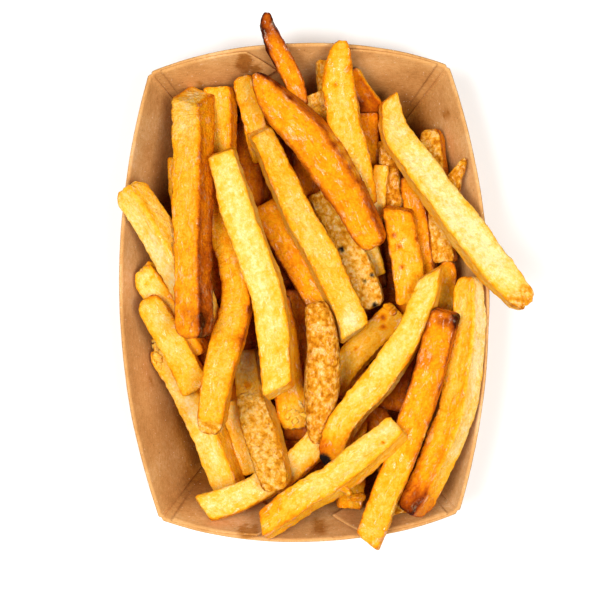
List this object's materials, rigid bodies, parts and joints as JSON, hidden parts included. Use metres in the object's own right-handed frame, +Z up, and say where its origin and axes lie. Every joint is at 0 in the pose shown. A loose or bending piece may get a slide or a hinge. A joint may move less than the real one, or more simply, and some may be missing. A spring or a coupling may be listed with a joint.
{
  "type": "french fries in a carton",
  "caption": "Folded kraft-board food tray with bowed sloping walls and glued corner flaps, heaped with thick-cut skin-on french fries, some over the rim.",
  "frame": {"origin": "centre of the underside of the carton's flat base", "axes": "+Z up out of the carton, +Y along the carton's long side, +X across it"},
  "size_m": [0.1213, 0.1588, 0.0591],
  "materials": {
    "kraft_board": "uncoated brown kraft board, matte, fine fibres",
    "fried_potato": "fried potato, pale yellow to golden brown, slightly oily, soft gloss"
  },
  "bodies": {
    "root": {"carton": "kraft_board", "fries": "fried_potato"}
  },
  "joints": []
}
